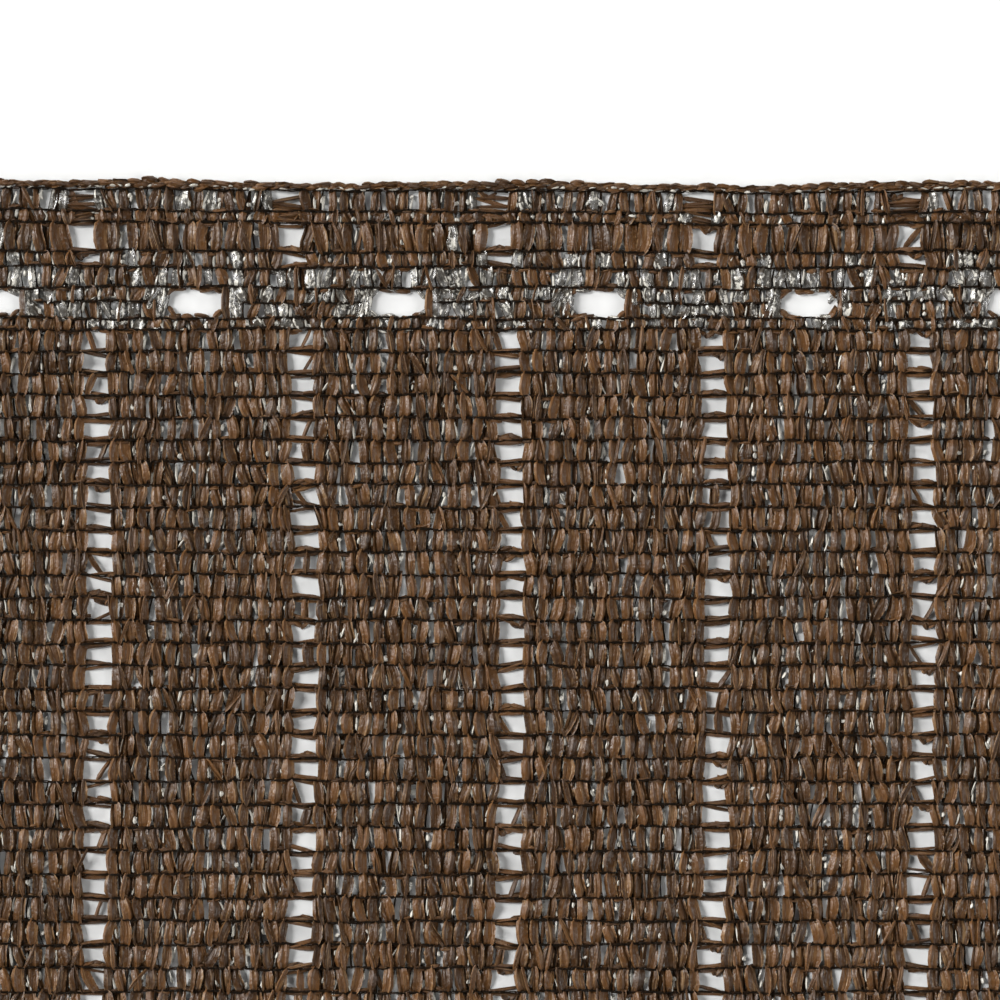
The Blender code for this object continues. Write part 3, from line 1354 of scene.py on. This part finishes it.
    def lay_cross(self, row: Row, along: float) -> None:
        """Lay one steep narrow tape through a window.

        Args:
            row: The window's row.
            along: The window's middle along X.
        """
        sizes = self.trims
        side = self.rng.choice((-1.0, 1.0))
        middle = along + side * row.window_width * self.rng.uniform(*sizes.cross_places)
        top = self.plan.line_y(row.depth, middle)
        bottom = self.plan.line_y(row.below(), middle)
        lean = side * self.rng.uniform(*sizes.cross_leans)
        self.lay_slanted(middle, (top + bottom) / 2.0, row.height * sizes.cross_length, lean)

    def lay_closing(self, row: Row, along: float) -> None:
        """Lay a leg through a window, which closes most of it.

        Args:
            row: The window's row.
            along: The window's middle along X.
        """
        width = row.window_width * self.rng.uniform(*self.trims.closing_widths)
        lean = self.rng.gauss(0.0, self.over_slant)
        place = along + self.rng.gauss(0.0, self.trims.closing_jitter)
        self.lay_leg(row, Tape.BROWN, place, width, row.style.crown * MM, lean)

    def lay_slanted(self, along: float, height: float, half: float, lean: float) -> None:
        """Lay a narrow brown tape at a lean of its own.

        Args:
            along: Its middle along X.
            height: Its middle along Y.
            half: Half its length.
            lean: Its turn from the line of the row, in radians.
        """
        width = self.strand_width * self.rng.uniform(*self.trims.slanted_widths)
        turn = (0.0, 0.0, lean + math.pi / 2.0)
        self.put(Tape.BROWN, (along, height, 0.0), turn, (width, half, self.strand_height), slim=True)

    def put(
        self,
        kind: Tape,
        place: Place,
        turn: Place,
        size: Place,
        slim: bool = False,
        bright: bool = False,
    ) -> None:
        """Add a length of tape with a shape and tone of its own.

        Args:
            kind: Kind of tape.
            place: Its middle, on the surface that the cloth lies on.
            turn: Its turns in radians.
            size: Its half width, half length and crown.
            slim: Whether it uses the slim templates.
            bright: Whether its tone lies in the range that the clear tape turns white in, as a painted
                highlight.
        """
        scatter = self.brown if kind is Tape.BROWN else self.clear
        variant = self.rng.randrange(len(TAPE_SHAPES))
        if slim:
            variant = len(TAPE_SHAPES) + self.rng.randrange(len(SLIM_SHAPES))
        tone = self.rng.random()
        if kind is Tape.CLEAR:
            tone = self.rng.uniform(*self.bright_tones) if bright else self.dull_tones * tone
        scatter.add(place, turn, size, variant, tone)


@dataclass
class SlotEnds:
    """Tapes that frame the slots: a fan at the left end, upright legs at the right, cut corners."""

    plan: KnitPlan
    rng: random.Random
    tapes: TapeRows
    width: float = 0.0017
    widths: Span = (0.8, 1.2)
    overlap: float = 0.0005
    crown: float = 0.0010
    fan: tuple[tuple[float, float], ...] = ((0.0004, 8.0), (0.0013, 16.0), (0.0022, 24.0))
    upright: tuple[tuple[float, Tape], ...] = ((0.0007, Tape.BROWN), (0.0018, Tape.CLEAR))
    upright_slant: float = 3.0
    corner_inset: float = 0.0010
    corner_places: Span = (0.4, 1.2)
    corner_drops: Span = (0.5, 1.1)
    corner_leans: Span = (25.0, 60.0)
    corner_length: float = 0.0015
    corner_lengths: Span = (0.7, 1.1)
    corner_width: float = 0.0006
    fringe_count: int = 3
    fringe_reach: float = 0.4
    fringe_depth: float = 0.0005
    fringe_depths: Span = (0.3, 1.0)
    fringe_lean: float = 9.0
    fringe_lengths: Span = (0.6, 1.5)
    trim_brown: float = 0.6
    trim_widths: Span = (0.6, 1.1)
    trim_crown: float = 0.85

    def build(self) -> None:
        """Frame every slot."""
        half = self.plan.slot_length / 2.0
        for centre in self.plan.slot_centres:
            for back, slant in self.fan:
                self.lay(Tape.CLEAR, centre - half - back, slant)
            for ahead, kind in self.upright:
                self.lay(kind, centre + half + ahead, self.rng.gauss(0.0, self.upright_slant))
            for level in (1.0, -1.0):
                self.cut_corners(centre, level)
                self.fringe(centre, level)

    def edge_y(self, along: float, level: float) -> float:
        """Height in Y of a slot's upper or lower edge.

        Args:
            along: The place along X.
            level: 1 for the upper edge, -1 for the lower one.

        Returns:
            The edge's Y.
        """
        depth = self.plan.slot_top if level > 0.0 else self.plan.slot_top + self.plan.slot_height
        return self.plan.line_y(depth, along)

    def cut_corners(self, centre: float, level: float) -> None:
        """Lay a short slanting tape across each of two corners.

        Args:
            centre: The slot's middle along X.
            level: 1 for the upper corners, -1 for the lower ones.
        """
        for side in (-1.0, 1.0):
            inset = self.corner_inset * self.rng.uniform(*self.corner_places)
            along = centre + side * (self.plan.slot_length / 2.0 - inset)
            drop = self.corner_inset * self.rng.uniform(*self.corner_drops)
            height = self.edge_y(along, level) - level * drop
            lean = -side * level * math.radians(self.rng.uniform(*self.corner_leans))
            self.trim(along, height, self.corner_length * self.rng.uniform(*self.corner_lengths), lean)

    def fringe(self, centre: float, level: float) -> None:
        """Lay short tapes that stand a little into the slot from one of its long edges.

        Args:
            centre: The slot's middle along X.
            level: 1 for the upper edge, -1 for the lower one.
        """
        for _ in range(self.fringe_count):
            along = centre + self.rng.uniform(-self.fringe_reach, self.fringe_reach) * self.plan.slot_length
            drop = self.fringe_depth * self.rng.uniform(*self.fringe_depths)
            height = self.edge_y(along, level) - level * drop
            lean = math.radians(self.rng.gauss(0.0, self.fringe_lean))
            self.trim(along, height, self.corner_length * self.rng.uniform(*self.fringe_lengths), lean)

    def trim(self, along: float, height: float, half: float, lean: float) -> None:
        """Lay one narrow tape, brown or clear.

        Args:
            along: Its middle along X.
            height: Its middle along Y.
            half: Half its length.
            lean: Its turn from the line of the slot, in radians.
        """
        kind = Tape.BROWN if self.rng.random() < self.trim_brown else Tape.CLEAR
        width = self.corner_width * self.rng.uniform(*self.trim_widths)
        size = (width, half, self.crown * self.trim_crown)
        self.tapes.put(kind, (along, height, 0.0), (0.0, 0.0, lean + math.pi / 2.0), size, slim=True)

    def lay(self, kind: Tape, along: float, slant: float) -> None:
        """Lay one leg of the slot's full height.

        Args:
            kind: Kind of tape.
            along: Its place along X.
            slant: Its lean in degrees, to the right at the top when positive.
        """
        if abs(along) > self.plan.half_width - self.width / 2.0:
            return
        top = self.plan.line_y(self.plan.slot_top, along)
        bottom = self.plan.line_y(self.plan.slot_top + self.plan.slot_height, along)
        place = (along, (top + bottom) / 2.0, 0.0)
        width = self.width / 2.0 * self.rng.uniform(*self.widths)
        size = (width, (top - bottom) / 2.0 + self.overlap, self.crown)
        self.tapes.put(kind, place, (0.0, 0.0, -math.radians(slant)), size)


@dataclass
class EdgeRope:
    """Twisted rope of short slanting tapes along the selvedge's edge."""

    plan: KnitPlan
    rng: random.Random
    scatter: Scatter
    tapes: TapeRows
    upper_depth: float = 0.00075
    lower_depth: float = 0.00115
    half_length: float = 0.0017
    half_lengths: Span = (0.8, 1.1)
    half_width: float = 0.00055
    half_widths: Span = (0.8, 1.3)
    crown: float = 0.00110
    crowns: Span = (0.8, 1.1)
    upper_lean: float = -5.0
    lower_lean: float = 10.0
    lean_jitter: float = 3.0
    glint_share: float = 0.50
    glint_depth: float = 0.00140
    glint_length: float = 0.0008
    glint_lengths: Span = (0.6, 1.4)
    glint_width: float = 0.00020
    glint_widths: Span = (0.7, 1.5)
    glint_lean: float = 9.0

    def build(self) -> None:
        """Lay the rope from one end of the selvedge to the other."""
        pitch = self.plan.course / 2.0
        reach = self.plan.half_width - self.half_length
        count = int(2.0 * reach / pitch)
        for step in range(count + 1):
            along = -reach + 2.0 * reach * step / count
            lower = step % 2 == 1
            depth = self.lower_depth if lower else self.upper_depth
            place = (along, self.plan.line_y(depth, along), 0.0)
            if self.rng.random() < self.glint_share:
                self.lay_glint(along)
            middle_lean = self.lower_lean if lower else self.upper_lean
            lean = math.radians(self.rng.gauss(middle_lean, self.lean_jitter))
            width = self.half_width * self.rng.uniform(*self.half_widths)
            length = self.half_length * self.rng.uniform(*self.half_lengths)
            crown = self.crown * self.rng.uniform(*self.crowns)
            variant = self.rng.randrange(len(TAPE_SHAPES))
            turn = (0.0, 0.0, math.pi / 2.0 + lean)
            self.scatter.add(place, turn, (width, length, crown), variant, self.rng.random())

    def lay_glint(self, along: float) -> None:
        """Lay a short bright bit of clear tape between the rope and the first line; its white is a painted
        highlight.

        Args:
            along: Its place along X.
        """
        place = (along, self.plan.line_y(self.glint_depth, along), 0.0)
        half = self.glint_length * self.rng.uniform(*self.glint_lengths)
        size = (self.glint_width * self.rng.uniform(*self.glint_widths), half, self.crown)
        turn = (0.0, 0.0, math.pi / 2.0 + math.radians(self.rng.gauss(0.0, self.glint_lean)))
        self.tapes.put(Tape.CLEAR, place, turn, size, slim=True, bright=True)


@dataclass
class ChainLines:
    """Chain stitches of dark filament along the knit's lines."""

    plan: KnitPlan
    rng: random.Random
    thread_radius: float = 0.00013
    thread_radii: Span = (0.8, 1.2)
    thread_height: float = 0.00086
    thread_heights: Span = (0.9, 1.1)
    roll: float = 0.5
    end_room: float = 0.55
    overlap: float = 1.1
    slot_margin: float = 0.0025

    def lay(self, scatter: Scatter, depth: float, skips_slots: bool = False) -> None:
        """Lay one line.

        Args:
            scatter: Where its stitches go.
            depth: The line's depth.
            skips_slots: Whether the line is broken at the slots.
        """
        reach = self.plan.half_width - self.plan.course * self.end_room
        count = round(2.0 * reach / self.plan.course)
        for step in range(count + 1):
            along = -reach + 2.0 * reach * step / count
            if skips_slots and self.plan.in_slot(along, self.slot_margin):
                continue
            half = reach / count
            slope = self.plan.line_y(depth, along + half) - self.plan.line_y(depth, along - half)
            radius = self.thread_radius * self.rng.uniform(*self.thread_radii)
            height = self.thread_height * self.rng.uniform(*self.thread_heights)
            place = (along, self.plan.line_y(depth, along), height)
            turn = (self.rng.uniform(-self.roll, self.roll), 0.0, math.atan2(slope, 2.0 * half))
            size = (half * self.overlap, radius, radius)
            scatter.add(place, turn, size, STITCH_VARIANT, self.rng.random())


@dataclass
class Selvedge:
    """The slotted selvedge: its edge rope, rows of brown and clear tape, slots and chain lines."""

    plan: KnitPlan
    loom: Loom
    seed: int = 5

    def build(self, brown: bpy.types.Material, clear: bpy.types.Material, thread: bpy.types.Material) -> None:
        """Args:
            brown: Material of the brown tape.
            clear: Material of the clear tape.
            thread: Material of the chain.
        """
        rng = random.Random(self.seed)
        tape = Scatter("selvedge_tape")
        pale = Scatter("selvedge_clear_tape")
        rope = Scatter("edge_rope")
        chain = Scatter("selvedge_chain")
        rows = self.plan.selvedge_rows()
        tapes = TapeRows(self.plan, rows, rng, tape, pale, chain)
        tapes.build()
        SlotEnds(self.plan, rng, tapes).build()
        EdgeRope(self.plan, rng, rope, tapes).build()
        lines = ChainLines(self.plan, rng)
        for row in rows:
            lines.lay(chain, row.depth, skips_slots=row.name == "slot_lower")
        lines.lay(chain, rows[-1].below())
        cloth = self.loom.weave(tape, "tape_shapes", brown)
        others = [
            self.loom.weave(pale, "tape_shapes", clear),
            self.loom.weave(rope, "tape_shapes", brown),
            self.loom.weave(chain, "chain_links", thread),
        ]
        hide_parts("selvedge_strip")
        for piece in (cloth, *others):
            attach(piece, "root")
        flat = (2.0 * self.plan.half_width, rows[-1].below() - self.plan.edge_height)


@dataclass
class KnittedField:
    """The field of brown tape, its ladders of windows and its chain lines, in bands of rows."""

    plan: KnitPlan
    loom: Loom
    bands: int = 3
    seed: int = 23
    end_jitter: float = 0.0002
    end_lift: float = 0.0001
    end_half_width: float = 0.0009
    end_widths: Span = (0.8, 1.2)
    end_crown: float = 0.0009
    end_slant: float = 5.0

    def build(self, brown: bpy.types.Material, clear: bpy.types.Material, thread: bpy.types.Material) -> None:
        """Args:
            brown: Material of the brown tape.
            clear: Material of the clear tape.
            thread: Material of the chain.
        """
        rng = random.Random(self.seed)
        rows = self.plan.field_row_list()
        share = len(rows) // self.bands
        for band in range(self.bands):
            part = rows[band * share:(band + 1) * share]
            tape = Scatter(f"field_tape_{band}")
            pale = Scatter(f"field_clear_tape_{band}")
            chain = Scatter(f"field_chain_{band}")
            TapeRows(self.plan, part, rng, tape, pale, chain).build()
            lines = ChainLines(self.plan, rng)
            for row in part:
                lines.lay(chain, row.below())
            if band == self.bands - 1:
                self.cut_ends(rng, tape, rows[-1])
            cloth = self.loom.weave(tape, "tape_shapes", brown)
            others = [
                self.loom.weave(pale, "tape_shapes", clear),
                self.loom.weave(chain, "chain_links", thread),
            ]
            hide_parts("knitted_field")
            for piece in (cloth, *others):
                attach(piece, "root")
            flat = (2.0 * self.plan.half_width, part[-1].below() - part[0].depth)

    def cut_ends(self, rng: random.Random, tape: Scatter, last: Row) -> None:
        """Lay the short tape ends below the last line, cut off straight.

        Args:
            rng: Source of the ends' small differences.
            tape: Where the ends go.
            last: The last row.
        """
        depth = last.below() + self.plan.cut_ends / 2.0
        for number, along in self.plan.course_places(last.window_shift):
            if self.plan.is_ladder(number):
                continue
            height = self.plan.line_y(depth, along) + self.end_lift
            place = (along + rng.gauss(0.0, self.end_jitter), height, 0.0)
            width = self.end_half_width * rng.uniform(*self.end_widths)
            size = (width, self.plan.cut_ends / 2.0 + self.end_lift, self.end_crown)
            turn = (0.0, 0.0, math.radians(rng.gauss(0.0, self.end_slant)))
            tape.add(place, turn, size, rng.randrange(len(TAPE_SHAPES)), rng.random())


@dataclass(frozen=True)
class Lamp:
    """One wide, far lamp: strength, and size, tilt from straight above and heading in degrees."""

    name: str
    strength: float
    angle: float
    tilt: float
    heading: float

    def hang(self) -> None:
        """Hang the lamp; its heading runs from +X towards +Y."""
        light = bpy.data.lights.new(self.name, "SUN")
        light.energy = self.strength
        light.angle = math.radians(self.angle)
        stand = bpy.data.objects.new(self.name, light)
        stand.rotation_euler = (0.0, math.radians(self.tilt), math.radians(self.heading))
        bpy.context.scene.collection.objects.link(stand)


@dataclass
class Studio:
    """Floor, soft lights and the camera straight above the cloth."""

    target_y: float
    framing: float = 0.190
    lens: float = 100.0
    sensor: float = 36.0
    floor_side: float = 6.0
    fill: float = 0.05
    key: Lamp = Lamp("key_light", 3.6, 18.0, 54.0, 160.0)
    low_lamps: tuple[Lamp, ...] = (
        Lamp("left_light", 4.8, 28.0, 71.0, 170.0),
        Lamp("top_light", 2.2, 28.0, 70.0, 85.0),
        Lamp("bottom_light", 1.5, 28.0, 70.0, -95.0),
        Lamp("right_light", 2.4, 28.0, 66.0, -10.0),
    )

    def build(self) -> None:
        """Set up the whole studio."""
        self.lay_floor()
        for lamp in (self.key, *self.low_lamps):
            lamp.hang()
        self.fill_room()
        self.set_camera()

    def lay_floor(self) -> None:
        """Lay the plain pale floor."""
        half = self.floor_side / 2.0
        mesh = bpy.data.meshes.new("floor")
        corners = [(-half, -half, 0.0), (half, -half, 0.0), (half, half, 0.0), (-half, half, 0.0)]
        mesh.from_pydata(corners, [], [(0, 1, 2, 3)])
        mesh.materials.append(PaleFloor().material())
        floor = bpy.data.objects.new("floor", mesh)
        bpy.context.scene.collection.objects.link(floor)

    def fill_room(self) -> None:
        """Fill the room with plain pale light."""
        world = bpy.data.worlds.new("studio")
        world.use_nodes = True
        world.node_tree.nodes["Background"].inputs["Color"].default_value = (1.0, 1.0, 1.0, 1.0)
        world.node_tree.nodes["Background"].inputs["Strength"].default_value = self.fill
        bpy.context.scene.world = world
        bpy.context.scene.view_settings.view_transform = "Standard"

    def set_camera(self) -> None:
        """Set the camera straight above the part of the cloth that the picture frames."""
        camera = bpy.data.cameras.new("camera")
        camera.type = "PERSP"
        camera.lens = self.lens
        camera.sensor_width = self.sensor
        camera.clip_start = 0.01
        stand = bpy.data.objects.new("camera", camera)
        stand.location = (0.0, self.target_y, self.framing * self.lens / self.sensor)
        bpy.context.scene.collection.objects.link(stand)
        bpy.context.scene.camera = stand


def main() -> None:
    """Build the cloth on its frame, then the studio around it."""
    logging.basicConfig(level=logging.INFO, format="%(message)s")
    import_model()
    selvedge_low, selvedge_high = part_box("selvedge_strip")
    plan = KnitPlan(edge_y=selvedge_low.y + SELVEDGE_DEPTH, half_width=selvedge_high.x)
    loom = Loom()
    legs = [LEG_TEMPLATE.mesh(f"tape_a{n}", shape) for n, shape in enumerate(TAPE_SHAPES)]
    slim = [SLIM_TEMPLATE.mesh(f"tape_b{n}", shape) for n, shape in enumerate(SLIM_SHAPES)]
    loom.keep_templates("tape_shapes", legs + slim)
    loom.keep_templates("chain_links", [STITCH_LINK.mesh("link_0"), SINGLE_LINK.mesh("link_1")])
    brown = BrownTape().material()
    clear = ClearTape().material()
    thread = ChainThread().material()
    Selvedge(plan, loom).build(brown, clear, thread)
    KnittedField(plan, loom).build(brown, clear, thread)
    loom.put_away()
    Studio(target_y=plan.edge_y - VIEW_DEPTH).build()
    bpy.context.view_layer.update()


if __name__ == "__main__":
    main()
